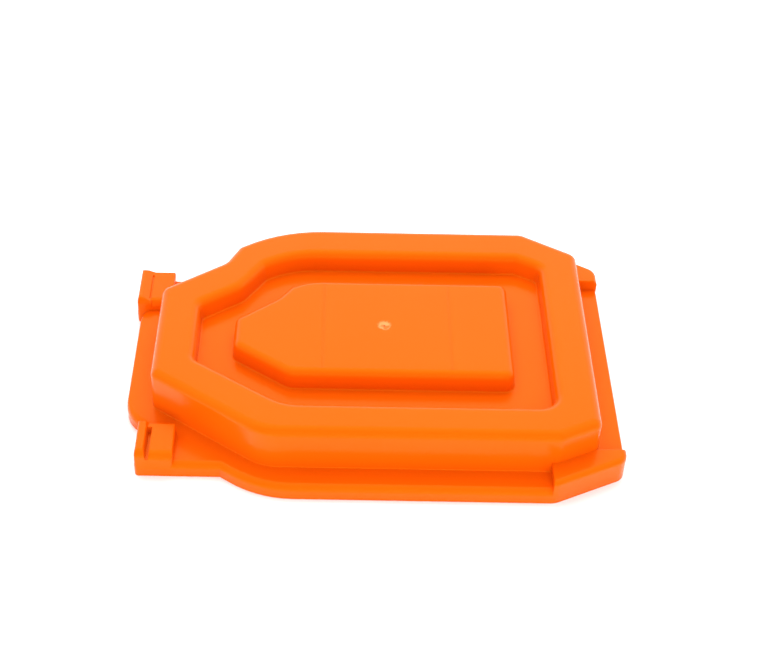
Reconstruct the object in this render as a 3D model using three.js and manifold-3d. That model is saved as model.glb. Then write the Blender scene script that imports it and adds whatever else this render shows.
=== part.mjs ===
// Wash cover for a motorcycle air box: one moulded plastic shell with a raised crown, a moat and
// an island in its top, a thin flange round its foot, two hooked ears at the left end and two
// clamp pads at the right end, and a soft seal ring in the channel under the flange.
//
// Millimetres, +Z up. The origin is the centre of the underside: X runs along the cover, from the
// ears to the pads, and Y runs across it, from the front to the back.

import * as THREE from 'three';
import Module from 'manifold-3d';

// ---- driving sizes ----------------------------------------------------------------------------

const CROWN_LENGTH = 211.6;
const CROWN_WIDTH = 147.2;
const CROWN_HEIGHT = 31.5;
const CROWN_EDGE = 4.5; // rounding of the crown's and the island's top edges

const FLANGE_WIDTH = 12.7;
const FLANGE_HEIGHT = 8;
const FLANGE_EDGE = 2;

const WALL = 2.6; // thickness of the moulding everywhere

const MOAT_DEPTH = 11;
const ISLAND_DROP = 0.5; // the island's top lies this much under the crown's

// Width of the crown's band, from its outer wall to the wall of the moat.
const BAND_FRONT = 20.2;
const BAND_BACK = 22;
const BAND_SIDE = 20.7;
// Width of the moat, from the band's wall to the island's.
const MOAT_WIDTH = 17.2;
const MOAT_FRONT_WIDTH = 18.6;
const MOAT_BACK_WIDTH = 18.4;

const PAD_HEIGHT = 14; // pads and ears, from the underside
const PAD_EDGE = 2; // rounding of the pads' top edges
const PAD_LENGTH_FRONT = 35.6; // along the cover, back from its right end
const PAD_LENGTH_BACK = 20;
const PAD_WIDTH_FRONT = 22; // across the cover, in from the flange's edge
const PAD_WIDTH_BACK = 31.5;

const EAR_WIDTH = 18.5; // along the cover
const EAR_DEPTH_FRONT = 21; // across the cover
const EAR_DEPTH_BACK = 24;
const EAR_FRONT_SETBACK = 12.7; // from the flange's front edge to the ear's front face
const EAR_BACK_SETBACK = 30;
const EAR_FRONT_INSET = 7.6; // from the flange's left edge, inwards
const EAR_BACK_OVERHANG = 2.3; // past the flange's left edge
const EAR_EDGE = 1.2; // rounding of the ears' top edges
const EAR_WEB_WIDTH = 37; // along the cover, under and beside the ear
const EAR_RIDGE_WIDTH = 5.4;
const EAR_RIDGE_RISE = 1.5;
const EAR_GROOVE_WIDTH = 1.8;
const EAR_GROOVE_DEPTH_FRONT = 3.4;
const EAR_GROOVE_DEPTH_BACK = 1.4;
const EAR_GROOVE_MARGIN = 3; // from the groove's closed ends to the ear's faces

const RIB_THICKNESS = 2;
const RIB_SPACING = 62; // between the two ribs under the island
const RIB_CENTRE_X = 8;

const SEAL_THICKNESS = 3;
const SEAL_CLEARANCE = 0.3;

const MIN_RADIUS = 0.4;
const ARC_SEGMENTS = 6;
const EDGE_SEGMENTS = 4;
const OVERCUT = 1; // how far a cutter reaches past the face that it cuts

// ---- materials --------------------------------------------------------------------------------

const orangePlastic = new THREE.MeshStandardMaterial({
  color: 0xff6a0a,
  roughness: 0.35,
  metalness: 0,
});
const sealFoam = new THREE.MeshStandardMaterial({
  color: 0x1a1a1c,
  roughness: 0.9,
  metalness: 0,
});

// ---- outlines: lists of corners [x, y, radius], counterclockwise --------------------------------

// The back ear reaches past the flange, so the crown sits half of that reach to the right.
const crownLeft = EAR_BACK_OVERHANG / 2 - CROWN_LENGTH / 2;
const crownRight = EAR_BACK_OVERHANG / 2 + CROWN_LENGTH / 2;
const crownBack = CROWN_WIDTH / 2;
const crownFront = -crownBack;
const flangeLeft = crownLeft - FLANGE_WIDTH;
const flangeRight = crownRight + FLANGE_WIDTH;
const flangeBack = crownBack + FLANGE_WIDTH;
const flangeFront = crownFront - FLANGE_WIDTH;
const moatLeft = crownLeft + BAND_SIDE;
const moatRight = crownRight - BAND_SIDE;
const moatBack = crownBack - BAND_BACK;
const moatFront = crownFront + BAND_FRONT;
const islandLeft = moatLeft + MOAT_WIDTH;
const islandRight = moatRight - MOAT_WIDTH;
const islandBack = moatBack - MOAT_BACK_WIDTH;
const islandFront = moatFront + MOAT_FRONT_WIDTH;

// Each outline's offsets count from its own four sides, but the ends of its left side keep their
// places across the cover.

// The crown: slanted corners all round, and a stepped shoulder at the back left.
const crown = [
  [crownLeft + 54.4, crownFront, 28],
  [crownRight - 19.5, crownFront, 8],
  [crownRight, crownFront + 9.1, 5],
  [crownRight, crownBack - 16.6, 6],
  [crownRight - 27.5, crownBack, 8],
  [crownLeft + 57.7, crownBack, 72],
  [crownLeft + 36.4, crownBack - 14.9, 6],
  [crownLeft + 30.3, crownBack - 27.2, 9],
  [crownLeft, 25.2, 6],
  [crownLeft, -36.2, 5],
];

// The flange follows the crown one flange width further out, with tighter corners at the right.
const flange = [
  [flangeLeft + 66, flangeFront, 52],
  [flangeRight - 34.1, flangeFront, 10],
  [flangeRight, flangeFront + 15.9, 7],
  [flangeRight, flangeBack - 22.1, 7],
  [flangeRight - 36.7, flangeBack, 14],
  [flangeLeft + 66.4, flangeBack, 84],
  [flangeLeft + 39.3, flangeBack - 19, 14],
  [flangeLeft + 33.2, flangeBack - 30.7, 4],
  [flangeLeft, 32.4, 18],
  [flangeLeft, -41, 18],
];

const moat = [
  [moatLeft + 43.6, moatFront, 24],
  [moatRight, moatFront, 8],
  [moatRight, moatBack - 6.1, 5],
  [moatRight - 11.2, moatBack, 4],
  [moatLeft + 42.8, moatBack, 44],
  [moatLeft + 30.7, moatBack - 8.2, 3],
  [moatLeft + 19.7, moatBack - 25.1, 12],
  [moatLeft, 13, 4],
  [moatLeft, -24.7, 4],
];

const island = [
  [islandLeft + 28, islandFront, 12],
  [islandRight, islandFront, 5],
  [islandRight, islandBack, 5],
  [islandLeft + 36.5, islandBack, 28],
  [islandLeft + 26.5, islandBack - 4.4, 3],
  [islandLeft + 20.3, islandBack - 13.3, 14],
  [islandLeft, 4.1, 5],
  [islandLeft, -15.6, 5],
];

// The corners with every edge moved in by a distance, or out where it is negative. Round corners
// stay concentric.
function inset(corners, distance) {
  const count = corners.length;
  const edges = corners.map(([x, y], i) => {
    const [nextX, nextY] = corners[(i + 1) % count];
    const length = Math.hypot(nextX - x, nextY - y);
    const dx = (nextX - x) / length;
    const dy = (nextY - y) / length;
    return { x: x - dy * distance, y: y + dx * distance, dx, dy };
  });
  return corners.map(([, , radius], i) => {
    const before = edges[(i + count - 1) % count];
    const after = edges[i];
    const turn = before.dx * after.dy - before.dy * after.dx;
    const along = ((after.x - before.x) * after.dy - (after.y - before.y) * after.dx) / turn;
    return [
      before.x + before.dx * along,
      before.y + before.dy * along,
      Math.max(radius - distance * Math.sign(turn), MIN_RADIUS),
    ];
  });
}

// The points of a closed outline, each corner rounded by an arc of its radius.
function outlinePoints(corners) {
  const count = corners.length;
  return corners.flatMap(([x, y, radius], i) => {
    const [px, py] = corners[(i + count - 1) % count];
    const [nx, ny] = corners[(i + 1) % count];
    const inAngle = Math.atan2(y - py, x - px);
    const outAngle = Math.atan2(ny - y, nx - x);
    const turn = Math.atan2(Math.sin(outAngle - inAngle), Math.cos(outAngle - inAngle));
    const side = Math.sign(turn);
    const tangent = radius * Math.tan(Math.abs(turn) / 2);
    const centreX = x - tangent * Math.cos(inAngle) - side * radius * Math.sin(inAngle);
    const centreY = y - tangent * Math.sin(inAngle) + side * radius * Math.cos(inAngle);
    const start = inAngle - (side * Math.PI) / 2;
    return Array.from({ length: ARC_SEGMENTS + 1 }, (_, k) => {
      const angle = start + (turn * k) / ARC_SEGMENTS;
      return new THREE.Vector2(
        centreX + radius * Math.cos(angle),
        centreY + radius * Math.sin(angle),
      );
    });
  });
}

function rectangle(x0, x1, y0, y1, radius) {
  return [
    [x0, y0, radius],
    [x1, y0, radius],
    [x1, y1, radius],
    [x0, y1, radius],
  ];
}

// ---- solids -----------------------------------------------------------------------------------

const wasm = await Module();
wasm.setup();

function toSolid(positions, indices) {
  return new wasm.Manifold(
    new wasm.Mesh({
      numProp: 3,
      vertProperties: new Float32Array(positions),
      triVerts: new Uint32Array(indices),
    }),
  );
}

function toMesh(solid, name, material) {
  const mesh = solid.getMesh();
  const geometry = new THREE.BufferGeometry();
  geometry.setAttribute('position', new THREE.BufferAttribute(mesh.vertProperties, 3));
  geometry.setIndex(new THREE.BufferAttribute(mesh.triVerts, 1));
  geometry.computeVertexNormals();
  const result = new THREE.Mesh(geometry, material);
  result.name = name;
  return result;
}

// A closed solid through levels of the same outline: each level is [height, inset].
function loft(corners, levels) {
  const rings = levels.map(([, distance]) => outlinePoints(inset(corners, distance)));
  const count = rings[0].length;
  const positions = rings.flatMap((ring, i) => ring.flatMap((p) => [p.x, p.y, levels[i][0]]));
  const indices = [];
  for (let level = 0; level + 1 < rings.length; level += 1) {
    for (let i = 0; i < count; i += 1) {
      const a = level * count + i;
      const b = level * count + ((i + 1) % count);
      indices.push(a, b, b + count, a, b + count, a + count);
    }
  }
  const last = (rings.length - 1) * count;
  for (const [a, b, c] of THREE.ShapeUtils.triangulateShape(rings[0], [])) {
    indices.push(c, b, a);
  }
  for (const [a, b, c] of THREE.ShapeUtils.triangulateShape(rings[rings.length - 1], [])) {
    indices.push(last + a, last + b, last + c);
  }
  return toSolid(positions, indices);
}

// Levels of a quarter round: from the wall at the lower height up to the flat at the upper one.
function roundOver(top, radius) {
  return Array.from({ length: EDGE_SEGMENTS + 1 }, (_, k) => {
    const angle = ((Math.PI / 2) * k) / EDGE_SEGMENTS;
    return [top - radius + radius * Math.sin(angle), radius - radius * Math.cos(angle)];
  });
}

// An upright prism between two heights, its upper edge rounded where a radius is given.
function prism(corners, bottom, top, edge = 0) {
  return loft(corners, [[bottom, 0], ...(edge > 0 ? roundOver(top, edge) : [[top, 0]])]);
}

// A cutter for a recess: an upright wall whose upper edge flares out in a quarter round.
function recess(corners, bottom, top, edge) {
  const rounded = roundOver(top, edge).map(([height, distance]) => [height, -distance]);
  return loft(corners, [[bottom, 0], ...rounded, [top + OVERCUT, -edge]]);
}

// ---- the cover --------------------------------------------------------------------------------

const moatFloor = CROWN_HEIGHT - MOAT_DEPTH;

// An ear: a hollow block beside the crown with a ridge on its outer end and a groove beside the
// ridge, and the low web that joins it to the flange. The groove stops short of the back face,
// and of the front face too unless it runs out there.
function ear(left, front, back, runsOut) {
  const ridge = left + EAR_RIDGE_WIDTH;
  const groove = ridge + EAR_GROOVE_WIDTH;
  const crest = PAD_HEIGHT + EAR_RIDGE_RISE;
  const grooveDepth = runsOut ? EAR_GROOVE_DEPTH_FRONT : EAR_GROOVE_DEPTH_BACK;
  const grooveFloor = PAD_HEIGHT - grooveDepth;
  const roof = PAD_HEIGHT - EAR_GROOVE_DEPTH_FRONT - WALL;
  const outline = rectangle(left, left + EAR_WIDTH, front, back, 2);
  const webOutline = rectangle(left, left + EAR_WEB_WIDTH, front, back, 2);
  const slotFront = runsOut ? front - OVERCUT : front + EAR_GROOVE_MARGIN;
  const slot = rectangle(ridge, groove, slotFront, back - EAR_GROOVE_MARGIN, MIN_RADIUS);
  const foot = prism(flange, -2 * OVERCUT, PAD_HEIGHT);
  const hollow = prism(inset(outline, WALL), -OVERCUT, roof)
    .add(prism(inset(webOutline, WALL), -OVERCUT, FLANGE_HEIGHT - WALL))
    .subtract(foot);
  return prism(outline, 0, PAD_HEIGHT, EAR_EDGE)
    .add(prism(rectangle(left, ridge, front, back, 1.5), 0, crest, EAR_EDGE))
    .add(prism(webOutline, 0, FLANGE_HEIGHT, EAR_EDGE))
    .subtract(prism(slot, grooveFloor, PAD_HEIGHT + OVERCUT))
    .subtract(hollow);
}

function ears() {
  const front = flangeFront + EAR_FRONT_SETBACK;
  const back = flangeBack - EAR_BACK_SETBACK;
  return ear(flangeLeft + EAR_FRONT_INSET, front, front + EAR_DEPTH_FRONT, true).add(
    ear(flangeLeft - EAR_BACK_OVERHANG, back - EAR_DEPTH_BACK, back, false),
  );
}

// The part of the plan that the clamp pads take, drawn in by a distance on its open sides.
function padRegion(distance, bottom, top) {
  const far = flangeRight + OVERCUT;
  const frontPad = rectangle(
    flangeRight - PAD_LENGTH_FRONT + distance,
    far,
    flangeFront - OVERCUT,
    flangeFront + PAD_WIDTH_FRONT - distance,
    0.5,
  );
  const backPad = rectangle(
    flangeRight - PAD_LENGTH_BACK + distance,
    far,
    flangeBack - PAD_WIDTH_BACK + distance,
    flangeBack + OVERCUT,
    0.5,
  );
  return prism(frontPad, bottom, top).add(prism(backPad, bottom, top));
}

// The clamp pads: the flange's right corners, raised.
function pads() {
  const raised = prism(flange, 0, PAD_HEIGHT, PAD_EDGE);
  return raised.intersect(padRegion(0, FLANGE_HEIGHT / 2, PAD_HEIGHT + OVERCUT));
}

// The channel under the flange that holds the seal, and the hollows above it in the pads.
function channel() {
  const low = flangeRing(WALL, FLANGE_WIDTH, -OVERCUT, FLANGE_HEIGHT - WALL);
  const high = flangeRing(WALL, FLANGE_WIDTH, FLANGE_HEIGHT / 2, PAD_HEIGHT - WALL);
  return low.add(high.intersect(padRegion(WALL, 0, PAD_HEIGHT)));
}

// The hollow under the crown, which leaves one wall's thickness all over.
function cavity() {
  const inside = inset(crown, WALL);
  const low = prism(inside, -OVERCUT, moatFloor - WALL);
  const channel = prism(inside, moatFloor - WALL - OVERCUT, CROWN_HEIGHT - WALL).subtract(
    prism(inset(moat, -WALL), moatFloor - WALL - 2 * OVERCUT, CROWN_HEIGHT),
  );
  const underIsland = prism(
    inset(island, WALL),
    moatFloor - WALL - OVERCUT,
    CROWN_HEIGHT - ISLAND_DROP - WALL,
  );
  return low.add(channel).add(underIsland);
}

// Two cross ribs that stiffen the island's top from below.
function ribs() {
  const foot = moatFloor - WALL;
  const reach = prism(inset(island, WALL / 2), foot, CROWN_HEIGHT - ISLAND_DROP - WALL / 2);
  const bar = (x) => {
    const half = RIB_THICKNESS / 2;
    const outline = rectangle(x - half, x + half, flangeFront, flangeBack, MIN_RADIUS);
    return prism(outline, foot, CROWN_HEIGHT);
  };
  const left = bar(RIB_CENTRE_X - RIB_SPACING / 2);
  const right = bar(RIB_CENTRE_X + RIB_SPACING / 2);
  return left.add(right).intersect(reach);
}

// A ring that follows the flange, between two distances from the flange's outer edge.
function flangeRing(outer, inner, bottom, top) {
  return prism(inset(flange, outer), bottom, top).subtract(
    prism(inset(flange, inner), bottom - OVERCUT, top + OVERCUT),
  );
}

function coverShell() {
  const foot = prism(flange, 0, FLANGE_HEIGHT, FLANGE_EDGE);
  const upper = prism(crown, FLANGE_HEIGHT / 2, CROWN_HEIGHT, CROWN_EDGE);
  const islandTop = CROWN_HEIGHT - ISLAND_DROP;
  const islandBlock = prism(island, moatFloor - WALL, islandTop, CROWN_EDGE);
  return foot
    .add(pads())
    .add(ears())
    .add(upper)
    .subtract(recess(moat, moatFloor, CROWN_HEIGHT, CROWN_EDGE))
    .add(islandBlock)
    .subtract(cavity())
    .add(ribs())
    .subtract(channel());
}

// The seal lies under the roof of the channel, and the air box's lip presses into it from below.
function sealRing() {
  const top = FLANGE_HEIGHT - WALL - SEAL_CLEARANCE;
  return flangeRing(
    WALL + SEAL_CLEARANCE,
    FLANGE_WIDTH - SEAL_CLEARANCE,
    top - SEAL_THICKNESS,
    top,
  );
}

const group = new THREE.Group();
group.add(toMesh(coverShell(), 'cover_shell', orangePlastic));
group.add(toMesh(sealRing(), 'seal_ring', sealFoam));

export default group;
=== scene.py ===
import logging
import math
from collections.abc import Sequence
from dataclasses import dataclass, field
from enum import Enum

import bmesh
import bpy
from mathutils import Matrix, Vector


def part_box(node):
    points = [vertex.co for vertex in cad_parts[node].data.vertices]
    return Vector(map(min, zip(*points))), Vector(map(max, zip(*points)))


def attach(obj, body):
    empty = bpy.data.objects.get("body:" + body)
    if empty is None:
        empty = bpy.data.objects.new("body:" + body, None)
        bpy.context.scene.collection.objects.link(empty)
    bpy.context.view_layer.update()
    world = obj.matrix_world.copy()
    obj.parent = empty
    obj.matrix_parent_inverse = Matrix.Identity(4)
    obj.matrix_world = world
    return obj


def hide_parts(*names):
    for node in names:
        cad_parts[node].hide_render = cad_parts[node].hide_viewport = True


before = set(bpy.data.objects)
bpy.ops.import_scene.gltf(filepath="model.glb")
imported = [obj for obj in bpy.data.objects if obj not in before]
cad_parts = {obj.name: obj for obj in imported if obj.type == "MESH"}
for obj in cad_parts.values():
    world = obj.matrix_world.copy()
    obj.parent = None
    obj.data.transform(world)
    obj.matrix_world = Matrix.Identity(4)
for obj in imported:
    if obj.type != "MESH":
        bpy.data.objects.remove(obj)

LOG = logging.getLogger("wash_cover")
MM = 0.001
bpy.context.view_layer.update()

Corner = tuple[float, float, float]
Level = tuple[float, float]
Point = tuple[float, float]
Color = tuple[float, float, float]


class Join(Enum):
    """How one solid is combined with another."""

    UNION = "UNION"
    CUT = "DIFFERENCE"
    COMMON = "INTERSECT"


# ---- outlines and solids, in millimetres --------------------------------------------------------


@dataclass(frozen=True)
class Outline:
    """A closed outline seen from above, its corners counterclockwise and rounded by arcs.

    Attributes:
        corners: (x, y, radius) of each corner, in millimetres.
        arc_step: the angle that one facet of a corner's arc turns through.
        least_radius: the smallest radius that a corner keeps when edges move.
    """

    corners: tuple[Corner, ...]
    arc_step: float = math.radians(5)
    least_radius: float = 0.25

    def inset(self, distance: float | Sequence[float]) -> "Outline":
        """Moves every edge in, or out where the distance is negative, with concentric corners.

        Args:
            distance: one distance for all the edges, or one for each edge. Edge i runs from
                corner i to the next one.

        Returns:
            The outline that results.
        """
        count = len(self.corners)
        steps = [distance] * count if isinstance(distance, (int, float)) else list(distance)
        edges = []
        for i, (x, y, _) in enumerate(self.corners):
            next_x, next_y, _ = self.corners[(i + 1) % count]
            length = math.hypot(next_x - x, next_y - y)
            dx, dy = (next_x - x) / length, (next_y - y) / length
            edges.append((x - dy * steps[i], y + dx * steps[i], dx, dy))
        corners = []
        for i, (_, _, radius) in enumerate(self.corners):
            bx, by, bdx, bdy = edges[i - 1]
            ax, ay, adx, ady = edges[i]
            turn = bdx * ady - bdy * adx
            along = ((ax - bx) * ady - (ay - by) * adx) / turn
            shrink = (steps[i - 1] + steps[i]) / 2 * math.copysign(1, turn)
            corners.append((bx + bdx * along, by + bdy * along, max(radius - shrink, self.least_radius)))
        return Outline(tuple(corners), self.arc_step, self.least_radius)

    def points(self) -> list[Point]:
        """Returns the outline's points, with each corner as an arc."""
        count = len(self.corners)
        result: list[Point] = []
        for i, (x, y, radius) in enumerate(self.corners):
            px, py, _ = self.corners[i - 1]
            nx, ny, _ = self.corners[(i + 1) % count]
            heading = math.atan2(y - py, x - px)
            leaving = math.atan2(ny - y, nx - x)
            turn = math.atan2(math.sin(leaving - heading), math.cos(leaving - heading))
            side = math.copysign(1, turn)
            tangent = radius * math.tan(abs(turn) / 2)
            cx = x - tangent * math.cos(heading) - side * radius * math.sin(heading)
            cy = y - tangent * math.sin(heading) + side * radius * math.cos(heading)
            start = heading - side * math.pi / 2
            steps = max(3, round(abs(turn) / self.arc_step))
            for k in range(steps + 1):
                angle = start + turn * k / steps
                result.append((cx + radius * math.cos(angle), cy + radius * math.sin(angle)))
        return result


def rectangle(x0: float, x1: float, y0: float, y1: float, radius: float) -> Outline:
    """Returns a rectangle with round corners.

    Args:
        x0: the left side.
        x1: the right side.
        y0: the front.
        y1: the back.
        radius: the radius of all four corners.

    Returns:
        The outline.
    """
    return Outline(((x0, y0, radius), (x1, y0, radius), (x1, y1, radius), (x0, y1, radius)))


def round_over(top: float, radius: float, start: float = 0.0, steps: int = 10) -> list[Level]:
    """Returns the levels of a quarter round, from an upright wall up to a flat top.

    Args:
        top: the height of the flat.
        radius: the radius of the round.
        start: the wall's inset where the round begins.
        steps: how many facets make the round.

    Returns:
        Levels of (height, inset).
    """
    angles = [math.pi / 2 * k / steps for k in range(steps + 1)]
    return [(top - radius + radius * math.sin(a), start + radius - radius * math.cos(a)) for a in angles]


def cove(floor: float, radius: float, wall: float = 0.0, steps: int = 5) -> list[Level]:
    """Returns the levels of a concave fillet, from a flat floor up to an upright wall.

    Args:
        floor: the height of the floor.
        radius: the radius of the fillet.
        wall: the wall's inset where the fillet ends.
        steps: how many facets make the fillet.

    Returns:
        Levels of (height, inset).
    """
    angles = [math.pi / 2 * k / steps for k in range(steps + 1)]
    return [(floor + radius - radius * math.cos(a), wall - radius + radius * math.sin(a)) for a in angles]


@dataclass
class Solid:
    """A closed mesh that is joined and cut by others while a piece is built."""

    obj: bpy.types.Object

    @staticmethod
    def from_rings(rings: Sequence[Sequence[Vector]], name: str = "work") -> "Solid":
        """Builds a closed solid through rings that all have the same number of points.

        Args:
            rings: the rings, from the first end face to the last.
            name: the name of the new object.

        Returns:
            The solid.
        """
        mesh = bmesh.new()
        loops = [[mesh.verts.new(point * MM) for point in ring] for ring in rings]
        count = len(loops[0])
        for low, high in zip(loops, loops[1:]):
            for i in range(count):
                k = (i + 1) % count
                mesh.faces.new((low[i], low[k], high[k], high[i]))
        mesh.faces.new(loops[0][::-1])
        mesh.faces.new(loops[-1])
        bmesh.ops.recalc_face_normals(mesh, faces=mesh.faces)
        bmesh.ops.triangulate(mesh, faces=[f for f in mesh.faces if len(f.verts) > 4])
        data = bpy.data.meshes.new(name)
        mesh.to_mesh(data)
        mesh.free()
        obj = bpy.data.objects.new(name, data)
        bpy.context.collection.objects.link(obj)
        return Solid(obj)

    @staticmethod
    def loft(outline: Outline, levels: Sequence[Level]) -> "Solid":
        """Builds an upright solid from an outline.

        Args:
            outline: the outline.
            levels: (height, inset) of each level, from the bottom up.

        Returns:
            The solid.
        """
        rings = [
            [Vector((x, y, height)) for x, y in outline.inset(distance).points()]
            for height, distance in levels
        ]
        return Solid.from_rings(rings)

    @staticmethod
    def prism(outline: Outline, bottom: float, top: float) -> "Solid":
        """Builds an upright prism between two heights."""
        return Solid.loft(outline, [(bottom, 0.0), (top, 0.0)])

    @staticmethod
    def eased(outline: Outline, top: float, reach: Sequence[float], height: float) -> "Solid":
        """Builds a slab from height 0 whose top edge is rounded by its own amount along each edge.

        Args:
            outline: the slab's outline.
            top: the height of its top.
            reach: how far the round reaches in along each edge of the outline.
            height: how far the round reaches down.

        Returns:
            The solid.
        """
        steps = 10
        rings = [[Vector((x, y, 0.0)) for x, y in outline.points()]]
        for k in range(steps + 1):
            angle = math.pi / 2 * k / steps
            share = 1 - math.cos(angle)
            level = top - height + height * math.sin(angle)
            ring = outline.inset([max(r * share, 1e-4) for r in reach]).points()
            rings.append([Vector((x, y, level)) for x, y in ring])
        return Solid.from_rings(rings)

    @staticmethod
    def bar(profile: Outline, start: float, end: float, along_x: bool) -> "Solid":
        """Builds a bar of constant profile that lies along the cover or across it.

        Args:
            profile: the profile. Its first coordinate is across the bar, its second is height.
            start: where the bar starts.
            end: where it ends.
            along_x: whether it lies along X, or else along Y.

        Returns:
            The solid.
        """
        rings = []
        for station in (start, end):
            places = [(station, a) if along_x else (a, station) for a, _ in profile.points()]
            heights = [height for _, height in profile.points()]
            rings.append([Vector((x, y, z)) for (x, y), z in zip(places, heights)])
        return Solid.from_rings(rings)

    def with_(self, other: "Solid", how: Join) -> "Solid":
        """Joins, cuts or limits this solid by another, which is used up.

        Args:
            other: the other solid.
            how: the way to combine them.

        Returns:
            This solid.
        """
        modifier = self.obj.modifiers.new("combine", "BOOLEAN")
        modifier.operation = how.value
        modifier.solver = "MANIFOLD"
        modifier.object = other.obj
        graph = bpy.context.evaluated_depsgraph_get()
        data = bpy.data.meshes.new_from_object(self.obj.evaluated_get(graph))
        self.obj.modifiers.clear()
        old = self.obj.data
        self.obj.data = data
        bpy.data.meshes.remove(old)
        bpy.data.objects.remove(other.obj)
        return self

    def add(self, other: "Solid") -> "Solid":
        """Joins another solid to this one."""
        return self.with_(other, Join.UNION)

    def cut(self, other: "Solid") -> "Solid":
        """Cuts another solid out of this one."""
        return self.with_(other, Join.CUT)

    def common(self, other: "Solid") -> "Solid":
        """Keeps only what this solid shares with another."""
        return self.with_(other, Join.COMMON)

    def finish(self, name: str, smooth_angle: float = math.radians(32)) -> bpy.types.Object:
        """Names the piece and shades it smoothly, with its flats truly flat.

        Args:
            name: the name of the piece.
            smooth_angle: edges sharper than this stay sharp.

        Returns:
            The finished object.
        """
        self.obj.name = name
        self.obj.data.name = name
        mesh = bmesh.new()
        mesh.from_mesh(self.obj.data)
        bmesh.ops.remove_doubles(mesh, verts=mesh.verts, dist=0.002 * MM)
        bmesh.ops.dissolve_degenerate(mesh, dist=0.002 * MM, edges=mesh.edges)
        bmesh.ops.recalc_face_normals(mesh, faces=mesh.faces)
        for face in mesh.faces:
            face.smooth = True
        for edge in mesh.edges:
            edge.smooth = edge.calc_face_angle(math.pi) < smooth_angle
        mesh.to_mesh(self.obj.data)
        mesh.free()
        weighted = self.obj.modifiers.new("flat_flats", "WEIGHTED_NORMAL")
        weighted.keep_sharp = True
        weighted.weight = 100
        return self.obj


# ---- the plan -----------------------------------------------------------------------------------


@dataclass(frozen=True)
class CoverPlan:
    """The cover's outlines and heights, worked out from the frame's box.

    Offsets count from each outline's own four sides. The ends of its left side keep their places
    across the cover. All sizes are in millimetres.
    """

    low: Vector
    high: Vector
    ear_overhang: float = 2.3
    flange_width: float = 12.7
    flange_height: float = 8.0
    pad_height: float = 14.0
    wall: float = 2.6
    band_front: float = 20.2
    band_back: float = 22.0
    band_side: float = 20.7
    moat_width: float = 17.2
    moat_front_width: float = 18.6
    moat_back_width: float = 18.4
    moat_depth: float = 11.0
    island_drop: float = 0.5

    @classmethod
    def from_frame(cls) -> "CoverPlan":
        """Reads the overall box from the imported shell."""
        low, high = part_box("cover_shell")
        return cls(Vector(low) / MM, Vector(high) / MM)

    @property
    def flange_left(self) -> float:
        """Left edge of the flange."""
        return self.low.x + self.ear_overhang

    @property
    def moat_floor(self) -> float:
        """Height of the moat's floor."""
        return self.high.z - self.moat_depth

    @property
    def island_top(self) -> float:
        """Height of the island's top."""
        return self.high.z - self.island_drop

    def flange(self) -> Outline:
        """Returns the outline of the flange, with tighter corners at the right."""
        left, right, front, back = self.flange_left, self.high.x, self.low.y, self.high.y
        return Outline((
            (left + 66, front, 52), (right - 34.1, front, 10), (right, front + 15.9, 7),
            (right, back - 22.1, 7), (right - 36.7, back, 14), (left + 66.4, back, 84),
            (left + 39.3, back - 19, 14), (left + 33.2, back - 30.7, 4),
            (left, 32.4, 18), (left, -41, 18),
        ))

    def crown_sides(self) -> tuple[float, float, float, float]:
        """Returns the crown's left, right, front and back."""
        width = self.flange_width
        return (
            self.flange_left + width, self.high.x - width,
            self.low.y + width, self.high.y - width,
        )

    def crown(self) -> Outline:
        """Returns the outline of the crown, with its stepped shoulder at the back left."""
        left, right, front, back = self.crown_sides()
        return Outline((
            (left + 54.4, front, 28), (right - 19.5, front, 8), (right, front + 9.1, 5),
            (right, back - 16.6, 6), (right - 27.5, back, 8), (left + 57.7, back, 72),
            (left + 36.4, back - 14.9, 6), (left + 30.3, back - 27.2, 9),
            (left, 25.2, 6), (left, -36.2, 5),
        ))

    def moat_sides(self) -> tuple[float, float, float, float]:
        """Returns the moat's left, right, front and back."""
        left, right, front, back = self.crown_sides()
        return (
            left + self.band_side, right - self.band_side,
            front + self.band_front, back - self.band_back,
        )

    def moat(self) -> Outline:
        """Returns the outline of the moat's wall."""
        left, right, front, back = self.moat_sides()
        return Outline((
            (left + 43.6, front, 24), (right, front, 8), (right, back - 6.1, 5),
            (right - 11.2, back, 4), (left + 42.8, back, 44), (left + 30.7, back - 8.2, 3),
            (left + 19.7, back - 25.1, 12), (left, 13, 4), (left, -24.7, 4),
        ))

    def island(self) -> Outline:
        """Returns the outline of the island's wall."""
        left, right, front, back = self.moat_sides()
        left, right = left + self.moat_width, right - self.moat_width
        front, back = front + self.moat_front_width, back - self.moat_back_width
        return Outline((
            (left + 28, front, 12), (right, front, 5), (right, back, 5),
            (left + 36.5, back, 28), (left + 26.5, back - 4.4, 3), (left + 20.3, back - 13.3, 14),
            (left, 4.1, 5), (left, -15.6, 5),
        ))


# ---- finishes -----------------------------------------------------------------------------------


def new_group(
    name: str, inputs: dict[str, float], outputs: Sequence[str]
) -> tuple[bpy.types.ShaderNodeTree, bpy.types.Node, bpy.types.Node]:
    """Starts a shader node group with a Vector input, number inputs and number outputs.

    Args:
        name: the group's name.
        inputs: the name and default value of each number input.
        outputs: the names of the number outputs.

    Returns:
        The tree, its input node and its output node.
    """
    tree = bpy.data.node_groups.new(name, "ShaderNodeTree")
    tree.interface.new_socket("Vector", in_out="INPUT", socket_type="NodeSocketVector")
    for label, value in inputs.items():
        socket = tree.interface.new_socket(label, in_out="INPUT", socket_type="NodeSocketFloat")
        socket.default_value = value
    for label in outputs:
        tree.interface.new_socket(label, in_out="OUTPUT", socket_type="NodeSocketFloat")
    return tree, tree.nodes.new("NodeGroupInput"), tree.nodes.new("NodeGroupOutput")


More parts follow.
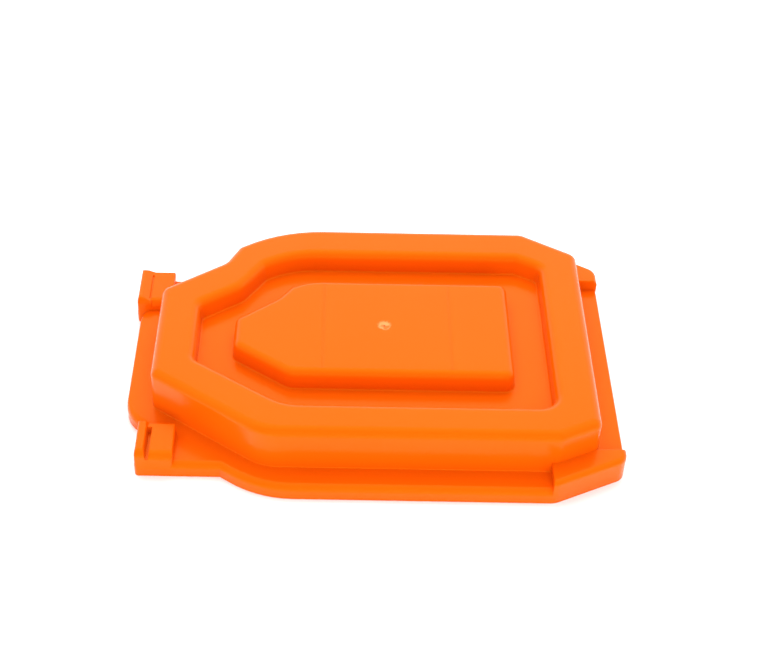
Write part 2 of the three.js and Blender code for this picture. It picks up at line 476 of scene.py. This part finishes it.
def set_inputs(
    tree: bpy.types.NodeTree, node: bpy.types.Node, inputs: dict[str | int, object]
) -> None:
    """Sets each input of a node to a value, or links it to a socket.

    Args:
        tree: the node tree.
        node: the node.
        inputs: the value or the socket for each input, by name or number.
    """
    for name, source in inputs.items():
        if isinstance(source, bpy.types.NodeSocket):
            tree.links.new(source, node.inputs[name])
        else:
            node.inputs[name].default_value = source


def add_node(
    tree: bpy.types.NodeTree, kind: str, inputs: dict[str | int, object], **options: object
) -> bpy.types.Node:
    """Adds a shader node.

    Args:
        tree: the node tree.
        kind: the node's type, without the leading ShaderNode.
        inputs: a value for each input, or a socket to link to it.
        options: the node's own settings.

    Returns:
        The node.
    """
    node = tree.nodes.new("ShaderNode" + kind)
    for name, option in options.items():
        setattr(node, name, option)
    set_inputs(tree, node, inputs)
    return node


def mix_colors(
    tree: bpy.types.NodeTree, factor: bpy.types.NodeSocket,
    first: Color | bpy.types.NodeSocket, second: Color | bpy.types.NodeSocket,
) -> bpy.types.NodeSocket:
    """Mixes two colours.

    Args:
        tree: the node tree.
        factor: the share of the second colour.
        first: the first colour, or a socket that gives it.
        second: the second colour, or a socket that gives it.

    Returns:
        The socket that gives the mixed colour.
    """
    inputs = {"Factor": factor, "A": first, "B": second}
    for name in ("A", "B"):
        if isinstance(inputs[name], tuple):
            inputs[name] = (*inputs[name], 1.0)
    return add_node(tree, "Mix", inputs, data_type="RGBA").outputs["Result"]


def new_material(name: str) -> tuple[bpy.types.Material, bpy.types.NodeTree, bpy.types.Node]:
    """Starts a material, and returns it with its node tree and its shader."""
    material = bpy.data.materials.new(name)
    material.use_nodes = True
    return material, material.node_tree, material.node_tree.nodes["Principled BSDF"]


def moulded_skin_group() -> bpy.types.ShaderNodeTree:
    """Builds the shared group for a moulded skin: fine grain over slow waves.

    Returns:
        The group. Height is the relief, and Drift is a slow mask from 0 to 1.
    """
    inputs = {"Grain Scale": 900.0, "Wave Scale": 18.0, "Grain Share": 0.3}
    tree, start, end = new_group("moulded_skin", inputs, ("Height", "Drift"))
    given = start.outputs
    grain = add_node(tree, "TexNoise", {
        "Detail": 3.0, "Vector": given["Vector"], "Scale": given["Grain Scale"],
    })
    waves = add_node(tree, "TexNoise", {
        "Detail": 2.0, "Vector": given["Vector"], "Scale": given["Wave Scale"],
    })
    blend = add_node(tree, "Mix", {
        "Factor": given["Grain Share"], "A": waves.outputs["Fac"], "B": grain.outputs["Fac"],
    })
    set_inputs(tree, end, {"Height": blend.outputs["Result"], "Drift": waves.outputs["Fac"]})
    return tree


def place_group(
    tree: bpy.types.NodeTree, group: bpy.types.ShaderNodeTree, values: dict[str, float]
) -> bpy.types.Node:
    """Places a node group in a material's tree, on object coordinates.

    Args:
        tree: the material's node tree.
        group: the group.
        values: the value of each number input.

    Returns:
        The group's node.
    """
    place = add_node(tree, "TexCoord", {}).outputs["Object"]
    return add_node(tree, "Group", {"Vector": place, **values}, node_tree=group)


@dataclass(frozen=True)
class OrangeMoulding:
    """Glossy orange injection-moulded plastic, with a pale gate mark on the island and painted shade along
    the sink marks over the ribs.

    Attributes:
        gate: the place of the gate mark, in millimetres.
        rib_lines: where the ribs stand along the cover, in millimetres.
        gate_radius: the radius of the mark, in millimetres.
        gate_fade: how far outside that radius its ragged edge fades from and to.
        gate_raggedness: how far the edge strays.
        gate_grain: the scale of the mottling.
        relief: the depth of the skin's relief, in millimetres.
        sink_width: the half width of a sink mark over a rib, in millimetres.
        sink_depth: its depth, in millimetres.
    """

    gate: Vector
    rib_lines: tuple[float, float]
    gate_radius: float = 3.3
    gate_fade: tuple[float, float] = (2.7, 1.7)
    gate_raggedness: float = 4.5
    gate_grain: float = 380.0
    color: Color = (0.75, 0.098, 0.001)
    deep_color: Color = (0.72, 0.092, 0.001)
    gate_color: Color = (0.85, 0.27, 0.09)
    gate_deep_color: Color = (0.78, 0.13, 0.02)
    roughness: float = 0.18
    roughness_drift: float = 0.03
    specular: float = 0.26
    specular_tint: Color = (1.0, 0.97, 0.10)
    relief: float = 0.02
    sink_width: float = 1.5
    sink_depth: float = 0.16
    # Painted shade: the darker colour that the sink marks over the ribs are painted with.
    sink_shade_color: Color = (0.72, 0.0885, 0.001)

    def build(self, skin: bpy.types.ShaderNodeTree) -> bpy.types.Material:
        """Builds the material.

        Args:
            skin: the shared group for a moulded skin.

        Returns:
            The material.
        """
        material, tree, shader = new_material("orange_moulding")
        scales = {"Grain Scale": 700.0, "Wave Scale": 22.0, "Grain Share": 0.25}
        group = place_group(tree, skin, scales)
        drift = group.outputs["Drift"]
        body = mix_colors(tree, drift, self.deep_color, self.color)
        mark, mottle = self.gate_mask(tree)
        chalky = mix_colors(tree, mottle, self.gate_deep_color, self.gate_color)
        marked = mix_colors(tree, mark, body, chalky)
        sink_dent_and_shade = self.sink_dent_and_shade_mask(tree)
        gloss = add_node(tree, "MapRange", {
            "To Min": self.roughness - self.roughness_drift,
            "To Max": self.roughness + self.roughness_drift, "Value": drift,
        })
        sink = add_node(tree, "Bump", {"Distance": self.sink_depth * MM, "Height": sink_dent_and_shade}, invert=True)
        bump = add_node(tree, "Bump", {
            "Strength": 0.12, "Distance": self.relief * MM,
            "Normal": sink.outputs["Normal"], "Height": group.outputs["Height"],
        })
        set_inputs(tree, shader, {
            "IOR": 1.5,
            "Specular IOR Level": self.specular,
            "Specular Tint": (*self.specular_tint, 1.0),
            # Painted shade: the colour is darkened along the sink marks over the ribs.
            "Base Color": mix_colors(tree, sink_dent_and_shade, marked, self.sink_shade_color),
            "Roughness": gloss.outputs["Result"],
            "Normal": bump.outputs["Normal"],
        })
        return material

    def sink_dent_and_shade_mask(self, tree: bpy.types.NodeTree) -> bpy.types.NodeSocket:
        """Builds soft lines where the ribs have drawn the island's top in a little: a dent, and painted
        shade in the colour.

        Args:
            tree: the material's node tree.

        Returns:
            The socket that gives the mask.
        """
        place = add_node(tree, "TexCoord", {}).outputs["Object"]
        split = add_node(tree, "SeparateXYZ", {"Vector": place}).outputs
        lines = []
        for rib in self.rib_lines:
            offset = add_node(tree, "Math", {0: split["X"], 1: rib * MM}, operation="SUBTRACT")
            away = add_node(tree, "Math", {0: offset.outputs["Value"]}, operation="ABSOLUTE")
            line = add_node(tree, "MapRange", {
                "From Min": self.sink_width * MM, "From Max": 0.0, "Value": away.outputs["Value"],
            }, interpolation_type="SMOOTHSTEP")
            lines.append(line.outputs["Result"])
        both = add_node(tree, "Math", {0: lines[0], 1: lines[1]}, operation="MAXIMUM")
        top = {0: split["Z"], 1: self.gate.z * MM, 2: 0.02 * MM}
        on_top = add_node(tree, "Math", top, operation="COMPARE")
        parts = {0: both.outputs["Value"], 1: on_top.outputs["Value"]}
        return add_node(tree, "Math", parts, operation="MULTIPLY").outputs["Value"]

    def gate_mask(self, tree: bpy.types.NodeTree) -> tuple[bpy.types.NodeSocket, bpy.types.NodeSocket]:
        """Builds a ragged round mask at the gate mark, and the mottling inside it.

        Args:
            tree: the material's node tree.

        Returns:
            The socket that gives the mask, and the one that gives the mottling.
        """
        place = add_node(tree, "TexCoord", {}).outputs["Object"]
        noise = add_node(tree, "TexNoise", {"Scale": self.gate_grain, "Vector": place}).outputs["Fac"]
        mottle = add_node(tree, "MapRange", {"From Min": 0.40, "From Max": 0.56, "Value": noise})
        distance = add_node(
            tree, "VectorMath", {0: place, 1: self.gate * MM}, operation="DISTANCE"
        ).outputs["Value"]
        ragged = add_node(
            tree, "Math", {0: noise, 1: self.gate_raggedness * MM, 2: distance}, operation="MULTIPLY_ADD"
        ).outputs["Value"]
        start, end = self.gate_fade
        fade = add_node(tree, "MapRange", {
            "From Min": (self.gate_radius + start) * MM, "From Max": (self.gate_radius + end) * MM,
            "Value": ragged,
        })
        return fade.outputs["Result"], mottle.outputs["Result"]


@dataclass(frozen=True)
class SealFoam:
    """Matt black closed-cell foam with open pores on its skin."""

    color: Color = (0.018, 0.018, 0.020)
    pore_color: Color = (0.006, 0.006, 0.007)

    def build(self, skin: bpy.types.ShaderNodeTree) -> bpy.types.Material:
        """Builds the material.

        Args:
            skin: the shared group for a moulded skin.

        Returns:
            The material.
        """
        material, tree, shader = new_material("seal_foam")
        scales = {"Grain Scale": 1600.0, "Wave Scale": 300.0, "Grain Share": 0.6}
        group = place_group(tree, skin, scales)
        height = group.outputs["Height"]
        rough = add_node(tree, "MapRange", {
            "To Min": 0.8, "To Max": 0.95, "Value": group.outputs["Drift"],
        })
        bump = add_node(tree, "Bump", {"Strength": 0.5, "Distance": 0.15 * MM, "Height": height})
        set_inputs(tree, shader, {
            "Specular IOR Level": 0.3,
            "Base Color": mix_colors(tree, height, self.pore_color, self.color),
            "Roughness": rough.outputs["Result"],
            "Normal": bump.outputs["Normal"],
        })
        return material


# ---- the moulded shell --------------------------------------------------------------------------


@dataclass(frozen=True)
class EarSpec:
    """Where an ear stands and how its ridge and groove run, in millimetres.

    Attributes:
        left: the ear's left side.
        front: its front.
        back: its back.
        ridge_flat: the width of the ridge's top.
        ridge_ramp: the width of the ramp from the ridge down to the plate.
        groove_width: the width of the groove.
        groove_depth: its depth below the plate.
        groove_runs_out: whether the groove is open at the front.
        corner: the radius of the ear's corners seen from above.
    """

    left: float
    front: float
    back: float
    ridge_flat: float
    ridge_ramp: float
    groove_width: float
    groove_depth: float
    groove_runs_out: bool
    corner: float = 2.2

    def outline(self, width: float) -> Outline:
        """Returns the ear's outline seen from above, for a given width."""
        return rectangle(self.left, self.left + width, self.front, self.back, self.corner)


@dataclass
class CoverShell:
    """The orange moulding: flange, crown, moat, island, pads, ears and the hollows underneath."""

    plan: CoverPlan
    crown_edge: float = 4.5
    moat_edge: float = 4.5
    island_edge: float = 4.0
    cove_radius: float = 0.5
    moat_cove_radius: float = 0.9
    draft: float = 0.35
    flange_front_edge: float = 3.3
    flange_side_edge: float = 0.8
    pad_edge: float = 2.6
    pad_side_edge: float = 2.2
    pad_front_length: float = 35.6
    pad_back_length: float = 20.0
    pad_front_width: float = 22.0
    pad_back_width: float = 31.5
    ear_width: float = 18.5
    ear_depth_front: float = 21.0
    ear_depth_back: float = 24.0
    ear_front_setback: float = 12.7
    ear_back_setback: float = 30.0
    ear_front_inset: float = 7.6
    ear_web_width: float = 37.0
    ear_nose: float = 4.0
    ridge_rise: float = 1.5
    groove_margin: float = 3.0
    web_blend: float = 5.0
    web_overlap: float = 8.0
    rib_thickness: float = 2.0
    rib_spacing: float = 62.0
    rib_centre: float = 8.0
    gate_from_centre: Vector = field(default_factory=lambda: Vector((6.75, -0.6)))
    overcut: float = 1.0

    def rib_places(self) -> tuple[float, float]:
        """Returns where the two ribs stand along the cover."""
        half = self.rib_spacing / 2
        return self.rib_centre - half, self.rib_centre + half

    def gate(self) -> Vector:
        """Returns the place of the gate mark on the island's top."""
        return Vector((self.gate_from_centre.x, self.gate_from_centre.y, self.plan.island_top))

    def build(self) -> bpy.types.Object:
        """Builds the whole moulding.

        Returns:
            The finished piece.
        """
        solid = self.foot()
        for pad in self.pads():
            solid.add(pad)
        for ear in self.ear_specs():
            solid.add(self.ear_block(ear)).add(self.ear_web(ear))
        solid.add(self.crown())
        solid.cut(self.moat_cutter())
        solid.add(self.island())
        for cutter in self.hollows():
            solid.cut(cutter)
        for rib in self.ribs():
            solid.add(rib)
        for cutter in self.channel():
            solid.cut(cutter)
        for ear in self.ear_specs():
            for cutter in self.ear_cutters(ear):
                solid.cut(cutter)
        solid.cut(self.gate_dimple())
        return solid.finish("cover_moulding")

    # -- foot, pads and crown

    def rounded_slab(self, top: float, front: float, side: float) -> Solid:
        """Builds the flange's outline as a slab whose top edge is rounded more at the front.

        Args:
            top: the height of its top.
            front: how far the round reaches in and down at the front.
            side: how far it reaches in elsewhere.

        Returns:
            The solid.
        """
        return Solid.eased(self.plan.flange(), top, [front, front, *[side] * 7, front], front)

    def foot(self) -> Solid:
        """Builds the flange as a solid slab."""
        return self.rounded_slab(self.plan.flange_height, self.flange_front_edge, self.flange_side_edge)

    def pad_regions(self, distance: float, bottom: float, top: float, edge: float = 0.0) -> list[Solid]:
        """Builds the blocks of plan that the clamp pads take.

        Args:
            distance: how far the blocks are drawn in on their open sides.
            bottom: the blocks' bottom.
            top: the blocks' top.
            edge: the rounding of their top edges.

        Returns:
            The front block and the back block.
        """
        right, front, back = self.plan.high.x, self.plan.low.y, self.plan.high.y
        far = right + 3 * self.overcut + edge
        outlines = [
            rectangle(
                right - self.pad_front_length + distance, far,
                front - 3 * self.overcut - edge, front + self.pad_front_width - distance, 1.0,
            ),
            rectangle(
                right - self.pad_back_length + distance, far,
                back - self.pad_back_width + distance, back + 3 * self.overcut + edge, 1.0,
            ),
        ]
        levels = [(bottom, 0.0), *(round_over(top, edge, steps=5) if edge else [(top, 0.0)])]
        return [Solid.loft(outline, levels) for outline in outlines]

    def pads(self) -> list[Solid]:
        """Builds the two clamp pads."""
        height = self.plan.pad_height
        result = []
        for region in self.pad_regions(0.0, 3.0, height, edge=0.7):
            pad = self.rounded_slab(height, self.pad_edge, self.pad_side_edge)
            result.append(pad.common(region))
        return result

    def crown(self) -> Solid:
        """Builds the crown as a solid block, with a cove at its foot and a rounded top edge."""
        floor, top = self.plan.flange_height, self.plan.high.z
        levels = [
            (floor / 2, -self.cove_radius),
            *cove(floor, self.cove_radius),
            *round_over(top, self.crown_edge, start=self.draft),
        ]
        return Solid.loft(self.plan.crown(), levels)

    def moat_cutter(self) -> Solid:
        """Builds the cutter for the moat, which flares at the top and is coved at the bottom."""
        floor, top = self.plan.moat_floor, self.plan.high.z
        profile = [*cove(floor, self.moat_cove_radius), *round_over(top, self.moat_edge, start=self.draft)]
        levels = [(height, -inset) for height, inset in profile]
        return Solid.loft(self.plan.moat(), [*levels, (top + self.overcut, -self.moat_edge - self.draft)])

    def island(self) -> Solid:
        """Builds the island as a solid block, with a cove at its foot and a rounded top edge."""
        floor = self.plan.moat_floor
        levels = [
            (floor - self.plan.wall, -self.moat_cove_radius),
            *cove(floor, self.moat_cove_radius),
            *round_over(self.plan.island_top, self.island_edge, start=self.draft),
        ]
        return Solid.loft(self.plan.island(), levels)

    # -- hollows and ribs

    def hollows(self) -> list[Solid]:
        """Builds the cutters for the hollows under the crown, the moat's floor and the island."""
        plan, wall = self.plan, self.plan.wall
        floor = plan.moat_floor - wall
        inside = plan.crown().inset(wall)
        edge = self.crown_edge - 1.0
        low = Solid.prism(inside, -self.overcut, floor)
        levels = [(floor - self.overcut, 0.0), *round_over(plan.high.z - wall, edge, steps=6)]
        ring = Solid.loft(inside, levels)
        ring.cut(Solid.prism(plan.moat().inset(-wall), floor - 2 * self.overcut, plan.high.z))
        levels = [(floor - self.overcut, 0.0), *round_over(plan.island_top - wall, 1.5, steps=4)]
        middle = Solid.loft(plan.island().inset(wall), levels)
        return [low, ring, middle]

    def ribs(self) -> list[Solid]:
        """Builds the two cross ribs under the island's top."""
        plan = self.plan
        foot = plan.moat_floor - plan.wall
        half = self.rib_thickness / 2
        result = []
        for centre in self.rib_places():
            strip = rectangle(centre - half, centre + half, plan.low.y, plan.high.y, 0.3)
            bar = Solid.prism(strip, foot, plan.high.z)
            reach = Solid.prism(plan.island().inset(plan.wall / 2), foot, plan.island_top - plan.wall / 2)
            result.append(bar.common(reach))
        return result

    def flange_ring(self, outer: float, inner: float, bottom: float, top: float) -> Solid:
        """Builds a ring that follows the flange, between two distances from its outer edge."""
        flange = self.plan.flange()
        ring = Solid.prism(flange.inset(outer), bottom, top)
        return ring.cut(Solid.prism(flange.inset(inner), bottom - self.overcut, top + self.overcut))

    def channel(self) -> list[Solid]:
        """Builds the cutters for the seal's channel and for the hollows in the pads."""
        plan = self.plan
        wall, width = plan.wall, plan.flange_width
        result = [self.flange_ring(wall, width, -self.overcut, plan.flange_height - wall)]
        for region in self.pad_regions(wall, 0.0, plan.pad_height):
            high = self.flange_ring(wall, width, plan.flange_height / 2, plan.pad_height - wall)
            result.append(high.common(region))
        return result

    # -- ears

    def ear_specs(self) -> list[EarSpec]:
        """Returns the front ear and the back ear."""
        plan = self.plan
        front = plan.low.y + self.ear_front_setback
        back = plan.high.y - self.ear_back_setback
        front_left = plan.flange_left + self.ear_front_inset
        return [
            EarSpec(
                front_left, front, front + self.ear_depth_front, ridge_flat=4.6, ridge_ramp=0.8,
                groove_width=1.8, groove_depth=3.4, groove_runs_out=True,
            ),
            EarSpec(
                plan.low.x, back - self.ear_depth_back, back, ridge_flat=3.0, ridge_ramp=3.6,
                groove_width=0.8, groove_depth=0.7, groove_runs_out=False,
            ),
        ]

    def nosed_bar(self, ear: EarSpec, across: Outline, top: float) -> Solid:
        """Builds a bar along an ear whose top is rounded over at the front.

        Args:
            ear: the ear.
            across: the bar's profile across the ear.
            top: the height of the bar's top.

        Returns:
            The solid.
        """
        along = Outline((
            (ear.front, -self.overcut, 0.3), (ear.back, -self.overcut, 0.3),
            (ear.back - 0.2, top, 0.8), (ear.front + 0.3, top, self.ear_nose),
        ))
        bar = Solid.bar(across, ear.front - self.overcut, ear.back + self.overcut, along_x=False)
        far = ear.left + self.ear_width + self.overcut
        return bar.common(Solid.bar(along, ear.left - self.overcut, far, along_x=True))

    def ear_block(self, ear: EarSpec) -> Solid:
        """Builds an ear: its plate and the ridge along its left side."""
        top = self.plan.pad_height
        crest = top + self.ridge_rise
        left, right = ear.left, ear.left + self.ear_width
        flat = left + ear.ridge_flat
        ramp = flat + ear.ridge_ramp
        plate = Outline((
            (left + 0.4, -self.overcut, 0.3), (right, -self.overcut, 0.3),
            (right - 0.2, top, 0.9), (left + 0.8, top, 0.9),
        ))
        ridge = Outline((
            (left, -self.overcut, 0.3), (ramp + self.overcut, -self.overcut, 0.3),
            (ramp + self.overcut, top - 0.4, 0.3), (ramp, top - 0.02, 1.0),
            (flat, crest, 0.8), (left + 0.8, crest, 1.4),
        ))
        block = self.nosed_bar(ear, plate, top).add(self.nosed_bar(ear, ridge, crest))
        return block.common(Solid.prism(ear.outline(self.ear_width), 0.0, 2 * crest))

    def web_outline(self, ear: EarSpec) -> Outline:
        """Returns the outline of an ear's web, which runs on smoothly into the flange."""
        if not ear.groove_runs_out:
            return ear.outline(self.ear_web_width)
        rim = [p for p in self.plan.flange().points() if p[0] < 0 and p[1] < ear.front]
        meeting = min(rim)
        inner = min(rim, key=lambda p: abs(p[0] - meeting[0] - self.web_overlap))
        return Outline((
            (ear.left, ear.front, ear.corner), (meeting[0], ear.front, self.web_blend),
            (inner[0], inner[1] + 0.3, 0.5), (inner[0], ear.back, ear.corner),
            (ear.left, ear.back, ear.corner),
        ))

    def ear_web(self, ear: EarSpec) -> Solid:
        """Builds the low web that joins an ear to the flange."""
        outline = self.web_outline(ear)
        front, side = self.flange_front_edge, self.flange_side_edge
        along_front = len(outline.corners) - 3
        return Solid.eased(outline, self.plan.flange_height, [front] * along_front + [side] * 3, front)

    def ear_cutters(self, ear: EarSpec) -> list[Solid]:
        """Builds the cutters for an ear's groove and for the hollows under it."""
        plan, wall = self.plan, self.plan.wall
        left = ear.left + ear.ridge_flat + ear.ridge_ramp
        floor = plan.pad_height - ear.groove_depth
        front = ear.front - 2 * self.overcut if ear.groove_runs_out else ear.front + self.groove_margin
        slot = rectangle(left, left + ear.groove_width, front, ear.back - self.groove_margin, 0.35)
        taper = 0.15 * ear.groove_width
        cutters = [Solid.loft(slot, [(floor, taper), (plan.pad_height, -taper), (plan.high.z, -taper)])]
        roof = plan.pad_height - max(spec.groove_depth for spec in self.ear_specs()) - wall
        for width, top in ((self.ear_width, roof), (self.ear_web_width, plan.flange_height - wall)):
            hollow = Solid.prism(ear.outline(width).inset(wall), -self.overcut, top)
            cutters.append(hollow.cut(Solid.prism(plan.flange(), -2 * self.overcut, plan.pad_height)))
        return cutters

    # -- gate mark

    def gate_dimple(self) -> Solid:
        """Builds the cutter for the shallow dimple that the gate leaves, with a pinhole in its middle."""
        gate = self.gate()
        steps = ((0.45, -1.1), (0.5, -0.25), (2.6, -0.15), (3.2, -0.08), (3.6, 0.0), (3.7, 0.3))
        return Solid.from_rings([circle(gate + Vector((0, 0, level)), radius) for radius, level in steps])


def circle(centre: Vector, radius: float, steps: int = 40) -> list[Vector]:
    """Returns the points of a level circle."""
    angles = [2 * math.pi * k / steps for k in range(steps)]
    return [centre + Vector((math.cos(a), math.sin(a), 0)) * radius for a in angles]


# ---- the seal -----------------------------------------------------------------------------------


@dataclass
class SealRing:
    """The foam ring that lies under the roof of the flange's channel."""

    plan: CoverPlan
    thickness: float = 3.0
    clearance: float = 0.3
    edge: float = 0.6

    def build(self) -> bpy.types.Object:
        """Builds the ring, with soft edges along its lower face.

        Returns:
            The finished piece.
        """
        plan = self.plan
        top = plan.flange_height - plan.wall - self.clearance
        bottom = top - self.thickness
        flange = plan.flange()
        soft = [(bottom + self.edge - self.edge * math.sin(a), self.edge - self.edge * math.cos(a))
                for a in (math.pi / 2 * (1 - k / 5) for k in range(6))]
        outer = Solid.loft(flange.inset(plan.wall + self.clearance), [*soft, (top, 0.0)])
        inner = flange.inset(plan.flange_width - self.clearance)
        widening = [(height, -inset) for height, inset in soft]
        below = (bottom - 1.0, -self.edge)
        outer.cut(Solid.loft(inner, [below, *widening, (top + 1.0, 0.0)]))
        return outer.finish("foam_seal", math.radians(40))


# ---- studio -------------------------------------------------------------------------------------


@dataclass(frozen=True)
class SoftLight:
    """A square area light that faces the cover and isn't seen in its gloss.

    Attributes:
        name: the light's name.
        size: the length of its side, in metres.
        power: its power, in watts.
        elevation: its height above the floor, as an angle.
        distance: its distance, in metres.
        side: 1 behind the cover, or -1 in front of it.
    """

    name: str
    size: float
    power: float
    elevation: float
    distance: float
    side: int

    def build(self) -> None:
        """Hangs the light."""
        data = bpy.data.lights.new(self.name, "AREA")
        data.shape = "SQUARE"
        data.size = self.size
        data.energy = self.power
        light = bpy.data.objects.new(self.name, data)
        direction = Vector((0.0, self.side * math.cos(self.elevation), math.sin(self.elevation)))
        light.location = direction * self.distance
        light.rotation_euler = direction.to_track_quat("Z", "Y").to_euler()
        light.visible_glossy = False
        bpy.context.collection.objects.link(light)


@dataclass
class Studio:
    """A white floor, a white tent that is brighter behind the cover, and the camera.

    The gloss mirrors only the tent, so that reflections and plain light are set apart.
    """

    look_at: Vector = field(default_factory=lambda: Vector((-12.45, 26.27, 0.0)))
    elevation: float = math.radians(43.0)
    yaw: float = math.radians(0.334)
    roll: float = math.radians(1.251)
    distance: float = 766.5
    lens: float = 69.55
    shift_x: float = 0.0513
    floor_size: float = 6.0
    floor_tone: float = 0.93
    tent_front: float = 0.5
    tent_back: float = 1.9
    lights: tuple[SoftLight, ...] = (
        SoftLight("key", 0.9, 7.0, math.radians(58), 1.1, 1),
        SoftLight("fill", 1.6, 35.0, math.radians(15), 1.8, -1),
    )

    def build(self) -> None:
        """Builds the floor, the light and the camera."""
        self.floor()
        self.tent()
        for light in self.lights:
            light.build()
        self.camera()

    def camera(self) -> None:
        """Places the camera from its angles and distance."""
        cos_e, sin_e = math.cos(self.elevation), math.sin(self.elevation)
        forward = Vector((math.sin(self.yaw) * cos_e, math.cos(self.yaw) * cos_e, -sin_e))
        level = Vector((math.cos(self.yaw), -math.sin(self.yaw), 0.0))
        up = level.cross(forward)
        cos_r, sin_r = math.cos(self.roll), math.sin(self.roll)
        right = level * cos_r + up * sin_r
        upward = up * cos_r - level * sin_r
        data = bpy.data.cameras.new("camera")
        data.lens = self.lens
        data.sensor_width = 36.0
        data.shift_x = self.shift_x
        data.clip_start = 0.01
        data.clip_end = 50.0
        camera = bpy.data.objects.new("camera", data)
        rotation = Matrix((right, upward, -forward)).transposed()
        place = Matrix.Translation((self.look_at - forward * self.distance) * MM)
        camera.matrix_world = place @ rotation.to_4x4()
        bpy.context.collection.objects.link(camera)
        bpy.context.scene.camera = camera

    def floor(self) -> None:
        """Lays the pale floor."""
        half = self.floor_size / 2
        mesh = bpy.data.meshes.new("floor")
        corners = [(-half, -half, 0), (half, -half, 0), (half, half, 0), (-half, half, 0)]
        mesh.from_pydata(corners, [], [(0, 1, 2, 3)])
        floor = bpy.data.objects.new("floor", mesh)
        material, tree, shader = new_material("floor")
        tone = (self.floor_tone, self.floor_tone, self.floor_tone, 1.0)
        set_inputs(tree, shader, {"Base Color": tone, "Roughness": 0.9})
        mesh.materials.append(material)
        bpy.context.collection.objects.link(floor)

    def tent(self) -> None:
        """Sets the light of the tent: bright overhead and behind, dim towards the front."""
        world = bpy.data.worlds.new("tent")
        world.use_nodes = True
        bpy.context.scene.world = world
        tree = world.node_tree
        tree.nodes.clear()
        place = add_node(tree, "TexCoord", {}).outputs["Generated"]
        split = add_node(tree, "SeparateXYZ", {"Vector": place})
        behind = add_node(tree, "MapRange", {
            "From Min": -0.85, "From Max": 0.1, "To Min": self.tent_front, "To Max": self.tent_back,
            "Value": split.outputs["Y"],
        }, interpolation_type="SMOOTHSTEP")
        background = add_node(tree, "Background", {"Strength": behind.outputs["Result"]})
        add_node(tree, "OutputWorld", {"Surface": background.outputs["Background"]})


def dress(piece: bpy.types.Object, material: bpy.types.Material, node: str) -> None:
    """Gives a piece its material, parents it to the root body and hides the frame's node that it stands
    for.

    Args:
        piece: the piece.
        material: its material.
        node: the frame's node that it stands for.
    """
    piece.data.materials.clear()
    piece.data.materials.append(material)
    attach(piece, "root")
    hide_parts(node)
    LOG.info("%s: %d faces, for %s", piece.name, len(piece.data.polygons), node)


def main() -> None:
    """Builds the cover, its seal and the studio."""
    logging.basicConfig(level=logging.INFO)
    bpy.context.scene.view_settings.view_transform = "Standard"
    plan = CoverPlan.from_frame()
    skin = moulded_skin_group()
    shell = CoverShell(plan)
    orange = OrangeMoulding(shell.gate(), shell.rib_places())
    dress(shell.build(), orange.build(skin), "cover_shell")
    dress(SealRing(plan).build(), SealFoam().build(skin), "seal_ring")
    Studio().build()


if __name__ == "__main__":
    main()
